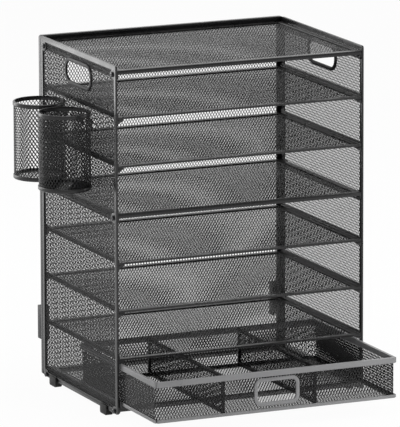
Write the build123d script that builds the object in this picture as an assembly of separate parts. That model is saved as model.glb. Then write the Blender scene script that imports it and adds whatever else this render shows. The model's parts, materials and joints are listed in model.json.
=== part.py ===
"""Desk paper organizer of black coated steel mesh.

Six paper shelves hang between two mesh side panels, under a recessed top
shelf and over a base tray, with a sliding three-compartment drawer at the
bottom and two round pen cups hooked on the left side panel.

Frame: X to the right, Y to the back, Z up, in millimetres. The origin is on
the ground in the middle of the rack's footprint. The drawer stands open, as
it is drawn out for use.
"""
from build123d import *
import os

# ---------------------------------------------------------------- rack
rack_width = 330.0
rack_depth = 240.0
panel_height = 430.0
foot_drop = 7.0             # the panels' lower edge above the ground
corner_radius = 3.0
rear_heel_radius = 8.0      # lower rear corner of each side panel

# ---------------------------------------------------------------- sheet and hems
mesh_thickness = 0.8
hem_thickness = 2.4         # a strip folded over both faces of the mesh
hem_band = 6.0
mesh_grip = 3.0             # how far the mesh reaches into its hem
mesh_fit = 0.05             # between the mesh and each inner face of a hem
assembly_gap = 0.3          # between pieces that are slipped together

# ---------------------------------------------------------------- openings of the mesh
# Real diamonds are 3.8 by 6.4 mm. These coarse ones stand for them and are about as open.
diamond_width = 48.0
diamond_height = 76.0
diamond_bar = 10.0          # sheet left between two openings
diamond_margin = 2.0        # sheet left round hand holes, hook gaps and screws
top_diamond_share = 0.6     # the top shelf's openings, beside the others: small things lie on it

# ---------------------------------------------------------------- back panel
back_band = 7.0
back_return = 6.0           # flange that turns forward round the back panel

# ---------------------------------------------------------------- carry handles
handle_length = 74.0
handle_height = 24.0
handle_radius = 11.0
handle_drop = 17.0          # top of the panel to the top of the hand hole
ring_band = 4.5
ring_grip = 2.0

# ---------------------------------------------------------------- shelves
shelf_count = 6
shelf_pitch = 59.5
lowest_shelf_height = 76.5  # paper surface above the ground
top_recess = 6.0            # top shelf below the upper edge of the panels
base_height = 15.5
shelf_band = 8.0
shelf_front_inset = 0.4     # front bar behind the face of the posts
lip_height = 4.0
lip_thickness = 1.2
lip_radius = 2.5
front_bar_depth = 3.4
bolted_bar_height = 5.0
bar_edge_radius = 0.8
bolted_shelf = 3            # counted down from the top
flange_depth = 10.5
flange_radius = 4.0
base_flange_depth = 8.0

# ---------------------------------------------------------------- shelf rests
rest_reach = 8.5
rest_height = 6.0
rest_width = 5.0
rest_blunt = 1.2
rest_drawer_gap = 0.4       # the lowest rests above the drawer's rim

# ---------------------------------------------------------------- screws and nuts
screw_inset = 10.0
screw_drop = 5.5            # below the shelf that it holds
screw_radius = 1.6
screw_hole_radius = 1.9
screw_head_radius = 3.2
screw_head_height = 2.2
screw_head_chamfer = 1.2
lug_radius = 6.0
nut_flats = 5.5
nut_sides = 6
nut_thickness = 2.4
thread_gap = 0.05

# ---------------------------------------------------------------- feet
foot_length = 20.0
foot_width = 9.0
foot_spacing = 160.0
foot_skirt_height = 5.5
foot_skirt_thickness = 2.2
foot_radius = 3.0

# ---------------------------------------------------------------- rear bumpers
bumper_height = 42.0
bumper_depth = 12.0
bumper_width = 11.6
bumper_cover_width = 5.0    # plate on the inner side
bumper_wall = 2.5
bumper_centre_height = 72.0
bumper_tongue_width = 2.6
bumper_tongue_height = 20.0
bumper_tongue_inset = 3.4   # tongue's middle from the inner face of the return
bumper_plate_thickness = 3.0
bumper_radius = 1.5

# ---------------------------------------------------------------- drawer
drawer_clearance = 2.1      # each side, to the inner face of the posts
drawer_length = 234.0
drawer_height = 50.5
drawer_lift = 3.5           # underside above the base tray
drawer_open = 105.0         # how far it stands out of the rack
rim_height = 7.0
rim_thickness = 4.0
rim_notch = 2.5
wall_radius = 6.0
wall_reach = 5.0            # how far the mesh reaches up into the rim
bottom_rail_height = 4.0
bottom_rail_thickness = 1.6
ledge_width = 8.0
divider_left_place = -69.0
divider_right_place = 53.0
divider_thickness = 3.2
divider_band = 4.0
divider_drop = 1.0          # below the top of the rim
pull_length = 60.0
pull_height = 34.5
pull_radius = 10.0
pull_centre_drop = 25.8     # below the top of the rim

# ---------------------------------------------------------------- runners and glides
runner_width = 8.0
runner_sheet = 1.0
runner_inset = 1.6          # from the inner face of the posts
runner_setback = 5.0        # front end behind the posts' face
runner_rear_gap = 5.0       # rear end ahead of the base tray's rear edge
glide_nose = 5.0            # in front of the posts
glide_ear_height = 6.0
glide_ear_thickness = 1.5
glide_width = 8.0
glide_chamfer = 1.2

# ---------------------------------------------------------------- pen cups
cup_radius = 32.7
cup_height = 95.5
cup_hang = 66.5             # rim of the cups below the top of the side panels
cup_spacing = 79.0
cup_shift = 2.0             # middle of the pair behind the rack's middle
cup_band_height = 5.0
cup_band_thickness = 2.4
cup_wall_inset = 0.8
cup_floor_rise = 2.0
cup_wall_reach = 2.5        # into the rim and the base ring
cup_band_chamfer = 0.7
hook_offset = 14.0
hook_width = 4.0
hook_sheet = 1.2
hook_top_drop = 11.0        # bend of the hook below the cup's rim
hook_strap = 12.0
hook_prong = 10.5
hook_slot_width = 5.0
hook_slot_height = 5.0

# ---------------------------------------------------------------- worked-out places
half_width = rack_width / 2
front = -rack_depth / 2
back = rack_depth / 2
panel_base = foot_drop
panel_top = foot_drop + panel_height
post_face = half_width - hem_thickness
mesh_plane = half_width - hem_thickness / 2
side_back = back - back_return - assembly_gap
side_depth = side_back - front
side_middle = (side_back + front) / 2
panel_middle = (panel_base + panel_top) / 2
handle_middle = panel_top - handle_drop - handle_height / 2
shelf_half = post_face - assembly_gap
shelf_front = front + shelf_front_inset
shelf_depth = side_back - shelf_front
shelf_middle = (side_back + shelf_front) / 2
top_floor = panel_top - top_recess
base_floor = base_height
screw_rows = [front + screw_inset, side_back - screw_inset]
drawer_half = post_face - drawer_clearance
drawer_base = base_floor + drawer_lift
drawer_top = drawer_base + drawer_height
drawer_front = front - drawer_open
drawer_back = drawer_front + drawer_length
drawer_middle = (drawer_front + drawer_back) / 2
wall_half = drawer_half - bottom_rail_thickness
wall_depth = drawer_length - 2 * bottom_rail_thickness
drawer_floor_top = drawer_base + bottom_rail_thickness + mesh_thickness
pull_middle = drawer_top - pull_centre_drop
cup_axis = -(mesh_plane + mesh_thickness / 2 + assembly_gap + cup_radius)
cup_top = panel_top - cup_hang
cup_base_height = cup_top - cup_height
cup_wall_outer = cup_radius - cup_wall_inset
hook_root = cup_axis + (cup_wall_outer ** 2 - hook_offset ** 2) ** 0.5


def shelf_level(row):
    """Paper surface of a shelf, counted down from 1 at the top."""
    return lowest_shelf_height + (shelf_count - row) * shelf_pitch


def cup_places():
    return {"front": cup_shift - cup_spacing / 2, "rear": cup_shift + cup_spacing / 2}


def bolt_heights():
    """Heights of the screws that hold the top, the bolted shelf and the base."""
    return [level - screw_drop for level in (top_floor, shelf_level(bolted_shelf), base_floor)]


# ---------------------------------------------------------------- general forms
def plate(width, height, radius=0.0):
    """Flat rectangle with round corners, or sharp ones where the radius runs out."""
    if radius <= mesh_fit:
        return Rectangle(width, height)
    return RectangleRounded(width, height, radius)


def slab(face, thickness):
    """A face thickened evenly to both sides of its plane."""
    return extrude(face, thickness / 2, both=True)


def openwork(width, height, closed=(), scale=1.0):
    """Staggered diamonds that fill a field about its middle, halved along its edges.

    closed lists places that stay plain, as (x, y, half width, half height).
    """
    columns = max(1, round(width / diamond_width / scale))
    rows = max(1, round(height / diamond_height / scale))
    step_x, step_y = width / columns, height / rows
    bar = scale * diamond_bar
    share = 1 - bar * (step_x ** 2 + step_y ** 2) ** 0.5 / (step_x * step_y)
    reach_x, reach_y = share * step_x / 2, share * step_y / 2
    gaps = []
    for column in range(2 * columns + 1):
        for row in range(column % 2, 2 * rows + 1, 2):
            x, y = column * step_x / 2 - width / 2, row * step_y / 2 - height / 2
            points = [(x + reach_x, y), (x, y + reach_y), (x - reach_x, y), (x, y - reach_y)]
            points = [(u, v) for u, v in points
                      if abs(u) < width / 2 + mesh_fit and abs(v) < height / 2 + mesh_fit]
            met = any(abs(x - u) < reach_x + half_u and abs(y - v) < reach_y + half_v
                      for u, v, half_u, half_v in closed)
            if len(points) > 2 and not met:
                gaps.append(make_face(Polyline(points, close=True)))
    return Sketch() + gaps


def hem_over(band, sheet, thickness):
    """A folded strip over a sheet's edge: the band with a slot for the sheet."""
    return slab(band, thickness) - slab(sheet, mesh_thickness + 2 * mesh_fit)


def side_plane(side, distance):
    """Plane across X on one side of the rack: local x is Y, local y is Z."""
    return Plane(origin=(side * distance, 0, 0), x_dir=(0, 1, 0), z_dir=(1, 0, 0))


def front_plane(distance):
    """Plane across Y: local x is X, local y is Z."""
    return Plane(origin=(0, distance, 0), x_dir=(1, 0, 0), z_dir=(0, -1, 0))


# ---------------------------------------------------------------- side panels
def side_outline(inset):
    """The side panel in Y and Z, drawn in by an inset: small corners and a large rear heel."""
    width = side_depth - 2 * inset
    height = panel_height - 2 * inset
    outline = plate(width, height, corner_radius - inset)
    heel = Pos(-width / 2, height / 2) * plate(2 * width, 2 * height, rear_heel_radius - inset)
    return Pos(side_middle, panel_middle) * (outline & heel)


def handle_hole(grow):
    """The hand hole, widened all round."""
    hole = plate(handle_length + 2 * grow, handle_height + 2 * grow, handle_radius + grow)
    return Pos(side_middle, handle_middle) * hole


def screw_points():
    """Screw places on a side panel, in Y and Z."""
    return [Pos(row, height) for row in screw_rows for height in bolt_heights()]


def screw_holes():
    return Sketch() + [point * Circle(screw_hole_radius) for point in screw_points()]


def screw_lugs():
    """Round ears that reach from the posts to the screws."""
    reach = screw_inset
    ears = []
    for height in bolt_heights():
        for row, way in zip(screw_rows, (-1, 1)):
            ears.append(Pos(row, height) * Circle(lug_radius))
            ears.append(Pos(row + way * reach / 2, height) * Rectangle(reach, 2 * lug_radius))
    return (Sketch() + ears) & side_outline(0)


def hook_slot_places():
    """Where the prongs of the pen cups cross the left side panel, in Y and Z."""
    drop = mesh_plane + hook_root + hook_sheet / 2
    height = cup_top - hook_top_drop + drop
    offsets = (-hook_offset, hook_offset)
    return [(place + offset, height) for place in cup_places().values() for offset in offsets]


def hook_slots():
    """Gaps parted in the mesh for the prongs of the pen cups."""
    gap = Rectangle(hook_slot_width, hook_slot_height)
    return Sketch() + [Pos(*place) * gap for place in hook_slot_places()]


def side_openwork(side):
    """Openings of a side panel, clear of its hand hole, screws and hook gaps."""
    ring = ring_band + diamond_margin
    lug = lug_radius + diamond_margin
    places = [(side_middle, handle_middle, handle_length / 2 + ring, handle_height / 2 + ring)]
    places += [(row, height, lug, lug) for row in screw_rows for height in bolt_heights()]
    if side < 0:
        slot = (hook_slot_width / 2 + diamond_margin, hook_slot_height / 2 + diamond_margin)
        places += [place + slot for place in hook_slot_places()]
    closed = [(y - side_middle, z - panel_middle, *half) for y, z, *half in places]
    field = openwork(side_depth - 2 * hem_band, panel_height - 2 * hem_band, closed)
    return Pos(side_middle, panel_middle) * field


def side_sheet(side):
    """The flat mesh of one side panel, in Y and Z."""
    sheet = side_outline(hem_band - mesh_grip) - handle_hole(ring_band - ring_grip)
    sheet = sheet - screw_holes()
    if side < 0:
        sheet = sheet - hook_slots()
    return sheet


def side_frame(side):
    band = side_outline(0) - side_outline(hem_band) + screw_lugs() - screw_holes()
    return side_plane(side, mesh_plane) * hem_over(band, side_sheet(side), hem_thickness)


def side_mesh(side):
    sheet = side_sheet(side) - side_openwork(side)
    return side_plane(side, mesh_plane) * slab(sheet, mesh_thickness)


def handle_ring(side):
    band = handle_hole(ring_band) - handle_hole(0)
    return side_plane(side, mesh_plane) * hem_over(band, side_sheet(side), hem_thickness)


# ---------------------------------------------------------------- back panel
def back_sheet():
    inset = back_band - mesh_grip
    return Pos(0, panel_middle) * plate(rack_width - 2 * inset, panel_height - 2 * inset)


def bumper_slot_place(side):
    return side * (post_face - bumper_tongue_inset)


def back_frame():
    """Hemmed frame whose edge turns forward against the side panels."""
    outline = plate(rack_width, panel_height, corner_radius)
    inner = plate(rack_width - 2 * hem_thickness, panel_height - 2 * hem_thickness)
    window = plate(rack_width - 2 * back_band, panel_height - 2 * back_band)
    plane = front_plane(back - hem_thickness / 2)
    turned = Pos(0, panel_middle) * (outline - inner)
    flange = front_plane(back) * extrude(turned, back_return)
    band = Pos(0, panel_middle) * (outline - window)
    frame = flange + plane * slab(band, hem_thickness)
    frame = frame - plane * slab(back_sheet(), mesh_thickness + 2 * mesh_fit)
    width = bumper_tongue_width + 2 * assembly_gap
    height = bumper_tongue_height + 2 * assembly_gap
    for side in (-1, 1):
        centre = (bumper_slot_place(side), back - hem_thickness / 2, bumper_centre_height)
        frame = frame - Pos(centre) * Box(width, 2 * hem_thickness, height)
    return frame


def back_mesh():
    width = bumper_tongue_width + 2 * assembly_gap
    height = bumper_tongue_height + 2 * assembly_gap
    field = openwork(rack_width - 2 * back_band, panel_height - 2 * back_band)
    sheet = back_sheet() - Pos(0, panel_middle) * field
    for side in (-1, 1):
        slot = Pos(bumper_slot_place(side), bumper_centre_height) * Rectangle(width, height)
        sheet = sheet - slot
    return front_plane(back - hem_thickness / 2) * slab(sheet, mesh_thickness)


def rear_bumper(side):
    """Channel-shaped spacer behind the panel, held by a tongue and an inner plate."""
    place = bumper_slot_place(side)
    section = Rectangle(bumper_width, bumper_depth)
    section = fillet(section.vertices().sort_by(Axis.Y)[-2:], bumper_radius)
    hollow = Rectangle(bumper_width - 2 * bumper_wall, bumper_depth - bumper_wall)
    section = section - Pos(0, -bumper_wall / 2) * hollow
    channel = extrude(section, bumper_height / 2, both=True)
    channel = Pos(place, back + bumper_depth / 2, bumper_centre_height) * channel
    web = Box(bumper_tongue_width, bumper_depth + hem_thickness, bumper_tongue_height)
    web = Pos(place, back + (bumper_depth - hem_thickness) / 2, bumper_centre_height) * web
    inside = back - hem_thickness - bumper_plate_thickness / 2
    cover = Box(bumper_cover_width, bumper_plate_thickness, bumper_height)
    cover = fillet(cover.edges().filter_by(Axis.Y), bumper_radius)
    return channel + web + Pos(place, inside, bumper_centre_height) * cover


# ---------------------------------------------------------------- shelves
def shelf_sheet():
    """Mesh of every shelf, in X and Y about the shelf's middle."""
    inset = shelf_band - mesh_grip
    return plate(2 * (shelf_half - inset), shelf_depth - 2 * inset)


def front_bar(height):
    """Rolled bar along a shelf's front edge, hanging from its upper face."""
    section = Rectangle(front_bar_depth, height)
    section = fillet(section.vertices(), bar_edge_radius)
    section = Pos(shelf_front + front_bar_depth / 2, -height / 2) * section
    return extrude(side_plane(-1, shelf_half) * section, 2 * shelf_half)


def upright_lip(side):
    """Low edge that turns up along one side of a hanging shelf."""
    height = hem_thickness + lip_height
    profile = Rectangle(shelf_depth, height)
    profile = fillet(profile.vertices().sort_by(Axis.Y)[-2:], lip_radius)
    profile = Pos(shelf_middle, height / 2 - hem_thickness) * profile
    return side_plane(side, shelf_half - lip_thickness / 2) * slab(profile, lip_thickness)


def hanging_flange(side, depth):
    """Edge that turns down along one side of a bolted shelf, with its screw holes."""
    profile = Rectangle(shelf_depth, depth)
    profile = fillet(profile.vertices().sort_by(Axis.Y)[:2], flange_radius)
    profile = Pos(shelf_middle, -depth / 2) * profile
    for row in screw_rows:
        profile = profile - Pos(row, -screw_drop) * Circle(screw_hole_radius)
    return side_plane(side, shelf_half - lip_thickness / 2) * slab(profile, lip_thickness)


def shelf_frame(level, bar_height, edges):
    """Hemmed rectangle, front bar and two side edges, with a slot for the mesh."""
    outline = plate(2 * shelf_half, shelf_depth)
    window = plate(2 * (shelf_half - shelf_band), shelf_depth - 2 * shelf_band)
    middle = Pos(0, shelf_middle, -hem_thickness / 2)
    frame = middle * slab(outline - window, hem_thickness)
    frame = frame + front_bar(bar_height) + edges
    frame = frame - middle * slab(shelf_sheet(), mesh_thickness + 2 * mesh_fit)
    return Pos(0, 0, level) * frame


def hanging_shelf_frame(level):
    return shelf_frame(level, hem_thickness, [upright_lip(-1), upright_lip(1)])


def bolted_shelf_frame(level, depth):
    edges = [hanging_flange(-1, depth), hanging_flange(1, depth)]
    return shelf_frame(level, bolted_bar_height, edges)


def shelf_mesh(level, scale=1.0):
    width, depth = 2 * (shelf_half - shelf_band), shelf_depth - 2 * shelf_band
    field = openwork(width, depth, scale=scale)
    middle = Pos(0, shelf_middle, level - hem_thickness / 2)
    return middle * slab(shelf_sheet() - field, mesh_thickness)


def shelf_rest(side, level):
    """Wedge-shaped bracket bent from sheet, kept above the drawer's rim."""
    seat = level - hem_thickness
    height = min(rest_height, seat - drawer_top - rest_drawer_gap)
    tip = -side * rest_reach
    outline = [(0, 0), (tip, 0), (tip, -rest_blunt)]
    outline += [(-side * rest_blunt, -height), (0, -height)]
    wedge = make_face(Polyline(outline, close=True))
    wedge = extrude(front_plane(0) * wedge, rest_width / 2, both=True)
    return Pos(side * post_face, 0, seat) * wedge


def shelf_rests(side):
    """The brackets on one side that carry the corners of the hanging shelves."""
    rows = [front + hem_band / 2, side_back - hem_band / 2]
    hanging = [row for row in range(1, shelf_count + 1) if row != bolted_shelf]
    wedges = [shelf_rest(side, shelf_level(row)) for row in hanging]
    return Compound(children=[Pos(0, place, 0) * wedge for wedge in wedges for place in rows])


# ---------------------------------------------------------------- screws and nuts
def screw(side):
    """Pan-head screw from the outer face of a lug, through the flange and its nut."""
    length = hem_thickness + assembly_gap + lip_thickness + nut_thickness
    head = extrude(Circle(screw_head_radius), screw_head_height)
    head = chamfer(head.edges().sort_by(Axis.Z)[-1], screw_head_chamfer)
    shank = extrude(Circle(screw_radius), -length)
    turned = Rot(0, side * 90, 0) * (head + shank)
    return Pos(side * half_width, 0, 0) * turned


def nut(side):
    turn = 180 / nut_sides
    hexagon = RegularPolygon(nut_flats / 2, nut_sides, major_radius=False, rotation=turn)
    body = extrude(hexagon - Circle(screw_radius + thread_gap), nut_thickness)
    seat = side * (shelf_half - lip_thickness)
    return Pos(seat, 0, 0) * Rot(0, -side * 90, 0) * body


def bolt_group(maker):
    """One fastener at each of the twelve bolted corners."""
    places = [(0, row, height) for row in screw_rows for height in bolt_heights()]
    return Compound(children=[Pos(p) * maker(side) for side in (-1, 1) for p in places])


# ---------------------------------------------------------------- feet
def foot(side, way):
    """Moulded foot under the side panel, with a skirt up its outer face."""
    section = Rectangle(foot_width, foot_drop)
    section = Pos(foot_skirt_thickness + half_width - foot_width / 2, foot_drop / 2) * section
    skirt = Rectangle(foot_skirt_thickness, foot_drop + foot_skirt_height)
    skirt = Pos(half_width + foot_skirt_thickness / 2, (foot_drop + foot_skirt_height) / 2) * skirt
    body = extrude(front_plane(0) * (section + skirt), foot_length / 2, both=True)
    ends = body.edges().filter_by(Axis.X).sort_by(Axis.Z)[:2]
    body = fillet(ends, foot_radius)
    place = Pos(0, way * foot_spacing / 2, 0) * body
    return place if side > 0 else mirror(place, about=Plane.YZ)


# ---------------------------------------------------------------- runners and glides
def runner(side):
    """Folded channel on the base tray that carries one side of the drawer."""
    height = drawer_lift - assembly_gap
    section = Rectangle(runner_width, height)
    hollow = Rectangle(runner_width - runner_sheet, height - 2 * runner_sheet)
    section = section - Pos(-runner_sheet / 2, 0) * hollow
    outer = post_face - runner_inset
    section = Pos(outer - runner_width / 2, base_floor + height / 2) * section
    start = front_plane(front + runner_setback) * section
    length = side_back - runner_rear_gap - front - runner_setback
    rail = extrude(start, -length)
    return rail if side > 0 else mirror(rail, about=Plane.YZ)


def glide(side):
    """Moulded nose at the front of a runner, with an ear that guides the drawer."""
    height = drawer_lift - assembly_gap
    length = glide_nose + runner_setback - assembly_gap
    outer = post_face - assembly_gap
    sole = Pos(outer - glide_width / 2, height / 2) * Rectangle(glide_width, height)
    ear_height = height + glide_ear_height
    ear = Rectangle(glide_ear_thickness, ear_height)
    ear = Pos(outer - glide_ear_thickness / 2, ear_height / 2) * ear
    nose = extrude(front_plane(front - glide_nose) * (sole + ear), -length)
    nose = Pos(0, 0, base_floor) * nose
    nose = chamfer(nose.edges().filter_by(Axis.X).sort_by(Axis.Z)[-2:], glide_chamfer)
    return nose if side > 0 else mirror(nose, about=Plane.YZ)


# ---------------------------------------------------------------- drawer
def drawer_outline(inset, radius=0.0):
    """The drawer's plan, drawn in by an inset, in X and Y."""
    outline = plate(2 * (drawer_half - inset), drawer_length - 2 * inset, radius)
    return Pos(0, drawer_middle) * outline


def corner_notches(size):
    """Small squares at the four corners, where the folded strips don't meet."""
    corners = [(x, y) for x in (-drawer_half, drawer_half) for y in (drawer_front, drawer_back)]
    return Sketch() + [Pos(x, y) * Rectangle(2 * size, 2 * size) for x, y in corners]


def wall_line(inset):
    """The mesh wall's plan, drawn in from its outer face."""
    return drawer_outline(bottom_rail_thickness + inset, wall_radius - inset)


def wall_front():
    """Plane in the middle of the drawer's front mesh."""
    return front_plane(drawer_front + bottom_rail_thickness + mesh_thickness / 2)


def pull_hole(grow):
    """The finger hole in the drawer's front, widened all round."""
    inner_length = pull_length - 2 * ring_band
    inner_height = pull_height - 2 * ring_band
    inner_radius = pull_radius - ring_band
    hole = plate(inner_length + 2 * grow, inner_height + 2 * grow, inner_radius + grow)
    return wall_front() * (Pos(0, pull_middle) * hole)


def drawer_wall_mesh():
    """One strip of mesh round the drawer, with rounded corners and the finger hole."""
    height = drawer_top - rim_height + wall_reach - drawer_base - bottom_rail_thickness
    wall = extrude(wall_line(0) - wall_line(mesh_thickness), height)
    wall = Pos(0, 0, drawer_base + bottom_rail_thickness) * wall
    return wall - slab(pull_hole(ring_band - ring_grip), wall_radius)


def drawer_wall_slot():
    """Room for the mesh wall's upper edge in the rim."""
    ring = wall_line(-mesh_fit) - wall_line(mesh_thickness + mesh_fit)
    return Pos(0, 0, drawer_top - rim_height) * extrude(ring, wall_reach)


def drawer_rim():
    """Folded bar round the top of the drawer."""
    ring = drawer_outline(0) - drawer_outline(rim_thickness) - corner_notches(rim_notch)
    bar = Pos(0, 0, drawer_top - rim_height) * extrude(ring, rim_height)
    folds = [edge for edge in bar.edges() if edge.length > rim_height]
    return fillet(folds, bar_edge_radius) - drawer_wall_slot()


def drawer_bottom_frame():
    """Angle strip round the foot of the drawer: a low face and an inward ledge."""
    ledge = drawer_outline(0) - drawer_outline(ledge_width) - corner_notches(rim_notch)
    ledge = extrude(ledge, bottom_rail_thickness)
    face = drawer_outline(0) - drawer_outline(bottom_rail_thickness) - corner_notches(rim_notch)
    face = extrude(face, bottom_rail_height)
    return Pos(0, 0, drawer_base) * (ledge + face)


def drawer_floor_mesh():
    field = openwork(2 * (drawer_half - ledge_width), drawer_length - 2 * ledge_width)
    sheet = wall_line(mesh_thickness + mesh_fit) - Pos(0, drawer_middle) * field
    return Pos(0, 0, drawer_base + bottom_rail_thickness) * extrude(sheet, mesh_thickness)


def drawer_pull_ring():
    """Folded ring round the finger hole."""
    sheet = wall_front() * (Pos(0, pull_middle) * plate(2 * pull_length, 2 * pull_height))
    sheet = sheet - pull_hole(ring_band - ring_grip)
    band = pull_hole(ring_band) - pull_hole(0)
    return hem_over(band, sheet, hem_thickness)


def divider_plane(place):
    return Plane(origin=(place, drawer_middle, 0), x_dir=(0, 1, 0), z_dir=(1, 0, 0))


def divider_face(inset):
    """A divider's outline between the walls, from the floor to just under the rim's top."""
    low = drawer_floor_top
    high = drawer_top - divider_drop
    width = drawer_length - 2 * (rim_thickness + assembly_gap)
    outline = plate(width - 2 * inset, high - low - 2 * inset)
    return Pos(0, (low + high) / 2) * outline


def divider_frame(place):
    band = divider_face(0) - divider_face(divider_band)
    sheet = divider_face(divider_band - mesh_grip)
    return divider_plane(place) * hem_over(band, sheet, divider_thickness)


def divider_mesh(place):
    return divider_plane(place) * slab(divider_face(divider_band - mesh_grip), mesh_thickness)


# ---------------------------------------------------------------- pen cups
def cup_wall(place):
    """Mesh tube between the rim and the base ring."""
    low = cup_base_height + cup_band_height - cup_wall_reach
    high = cup_top - cup_band_height + cup_wall_reach
    tube = extrude(Circle(cup_wall_outer) - Circle(cup_wall_outer - mesh_thickness), high - low)
    return Pos(cup_axis, place, low) * tube


def cup_band(place, low, mouth_up):
    """Folded ring over one end of the tube, with a slot for the tube's edge."""
    section = Rectangle(cup_band_thickness, cup_band_height)
    section = chamfer(section.vertices().sort_by(Axis.X)[-2:], cup_band_chamfer)
    section = Pos(cup_radius - cup_band_thickness / 2, cup_band_height / 2) * section
    slot_middle = cup_wall_outer - mesh_thickness / 2
    slot_height = cup_wall_reach / 2 + (cup_band_height - cup_wall_reach) * mouth_up
    slot = Pos(slot_middle, slot_height) * Rectangle(mesh_thickness + 2 * mesh_fit, cup_wall_reach)
    ring = revolve(Plane.XZ * (section - slot), Axis.Z)
    return Pos(cup_axis, place, low) * ring


def cup_rim(place):
    return cup_band(place, cup_top - cup_band_height, 0)


def cup_base_ring(place):
    return cup_band(place, cup_base_height, 1)


def cup_floor(place):
    """Mesh disc held inside the base ring."""
    radius = cup_radius - cup_band_thickness - mesh_fit
    disc = extrude(Circle(radius), mesh_thickness)
    return Pos(cup_axis, place, cup_base_height + cup_floor_rise) * disc


def cup_hooks(place):
    """Two straps on the cup's wall, each bent to a prong that slants down into the mesh."""
    bend = cup_top - hook_top_drop
    spine = hook_root + hook_sheet / 2
    reach = hook_prong / 2 ** 0.5
    path = Polyline((spine, bend - hook_strap), (spine, bend), (spine + reach, bend - reach))
    strip = extrude(front_plane(0) * trace(path, hook_sheet), hook_width / 2, both=True)
    well = Pos(cup_axis, 0, cup_base_height) * Cylinder(cup_wall_outer, 2 * cup_height)
    hooks = []
    for offset in (-hook_offset, hook_offset):
        hooks.append(Pos(0, place, 0) * (Pos(0, offset, 0) * strip - well))
    return Compound(children=hooks)


# ---------------------------------------------------------------- the whole organizer
def rack_pieces():
    pieces = {}
    for side, name in ((-1, "left"), (1, "right")):
        pieces[name + "_side_frame"] = side_frame(side)
        pieces[name + "_side_mesh"] = side_mesh(side)
        pieces[name + "_handle_ring"] = handle_ring(side)
        pieces[name + "_shelf_rests"] = shelf_rests(side)
        pieces[name + "_runner"] = runner(side)
        pieces[name + "_glide"] = glide(side)
        pieces[name + "_rear_bumper"] = rear_bumper(side)
        pieces["front_" + name + "_foot"] = foot(side, -1)
        pieces["rear_" + name + "_foot"] = foot(side, 1)
    pieces["back_frame"] = back_frame()
    pieces["back_mesh"] = back_mesh()
    pieces["top_shelf_frame"] = bolted_shelf_frame(top_floor, flange_depth)
    pieces["top_shelf_mesh"] = shelf_mesh(top_floor, top_diamond_share)
    for row in range(1, shelf_count + 1):
        level = shelf_level(row)
        if row == bolted_shelf:
            pieces[f"shelf_{row}_frame"] = bolted_shelf_frame(level, flange_depth)
        else:
            pieces[f"shelf_{row}_frame"] = hanging_shelf_frame(level)
        pieces[f"shelf_{row}_mesh"] = shelf_mesh(level)
    pieces["base_frame"] = bolted_shelf_frame(base_floor, base_flange_depth)
    pieces["base_mesh"] = shelf_mesh(base_floor)
    pieces["screws"] = bolt_group(screw)
    pieces["nuts"] = bolt_group(nut)
    return pieces


def drawer_pieces():
    pieces = {
        "drawer_rim": drawer_rim(),
        "drawer_bottom_frame": drawer_bottom_frame(),
        "drawer_wall_mesh": drawer_wall_mesh(),
        "drawer_floor_mesh": drawer_floor_mesh(),
        "drawer_pull_ring": drawer_pull_ring(),
    }
    for name, place in (("left", divider_left_place), ("right", divider_right_place)):
        pieces[name + "_divider_frame"] = divider_frame(place)
        pieces[name + "_divider_mesh"] = divider_mesh(place)
    return pieces


def cup_pieces():
    pieces = {}
    for name, place in cup_places().items():
        pieces[name + "_cup_wall"] = cup_wall(place)
        pieces[name + "_cup_rim"] = cup_rim(place)
        pieces[name + "_cup_base_ring"] = cup_base_ring(place)
        pieces[name + "_cup_floor"] = cup_floor(place)
        pieces[name + "_cup_hooks"] = cup_hooks(place)
    return pieces


if __name__ == "__main__":
    os.makedirs("parts", exist_ok=True)
    for node, shape in {**rack_pieces(), **drawer_pieces(), **cup_pieces()}.items():
        export_step(shape, f"parts/{node}.step")
        print(node, round(shape.volume, 1))
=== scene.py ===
# %% [markdown]
# # A desk paper organizer in black steel mesh
# The real object is made of three things: expanded steel mesh, strips of sheet steel folded
# over the mesh's edges as hems, and a black powder coat over both. A handful of small parts
# finish it: screws and nuts, moulded feet, and the hooks that carry two pen cups.
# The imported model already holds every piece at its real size, so this script never moves
# anything. Its sheets are plain or have only a few wide openings, so the script grows the
# fine mesh that they stand for. It also rounds the folds of the hems, cuts the screw heads,
# and gives each piece its finish.

# %% Load the fixed frame
import json
from math import cos, pi, radians, sin

import bmesh
import bpy
import numpy as np
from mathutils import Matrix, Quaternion, Vector

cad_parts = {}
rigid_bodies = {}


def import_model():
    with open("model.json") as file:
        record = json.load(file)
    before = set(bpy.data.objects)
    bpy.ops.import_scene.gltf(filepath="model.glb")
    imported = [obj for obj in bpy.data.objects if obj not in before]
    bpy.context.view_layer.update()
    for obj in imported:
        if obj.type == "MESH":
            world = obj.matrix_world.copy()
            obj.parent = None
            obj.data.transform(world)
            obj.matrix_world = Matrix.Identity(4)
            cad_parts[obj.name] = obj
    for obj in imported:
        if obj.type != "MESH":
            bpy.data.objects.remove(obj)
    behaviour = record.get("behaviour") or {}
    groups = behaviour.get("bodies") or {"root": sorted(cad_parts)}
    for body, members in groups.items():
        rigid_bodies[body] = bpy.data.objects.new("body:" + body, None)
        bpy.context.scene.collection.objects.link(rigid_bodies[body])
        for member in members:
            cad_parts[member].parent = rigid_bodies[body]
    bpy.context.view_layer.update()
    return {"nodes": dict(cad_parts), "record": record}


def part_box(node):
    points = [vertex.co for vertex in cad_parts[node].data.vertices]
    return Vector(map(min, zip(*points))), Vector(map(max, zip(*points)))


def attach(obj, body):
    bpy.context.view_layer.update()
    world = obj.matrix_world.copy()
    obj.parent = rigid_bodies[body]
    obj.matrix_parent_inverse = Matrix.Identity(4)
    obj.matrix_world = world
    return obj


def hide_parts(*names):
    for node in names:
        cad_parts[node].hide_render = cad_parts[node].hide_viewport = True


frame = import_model()
bodies = frame["record"]["behaviour"]["bodies"]
body_of = {node: body for body, members in bodies.items() for node in members}
scene = bpy.context.scene
MM = 0.001

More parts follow.
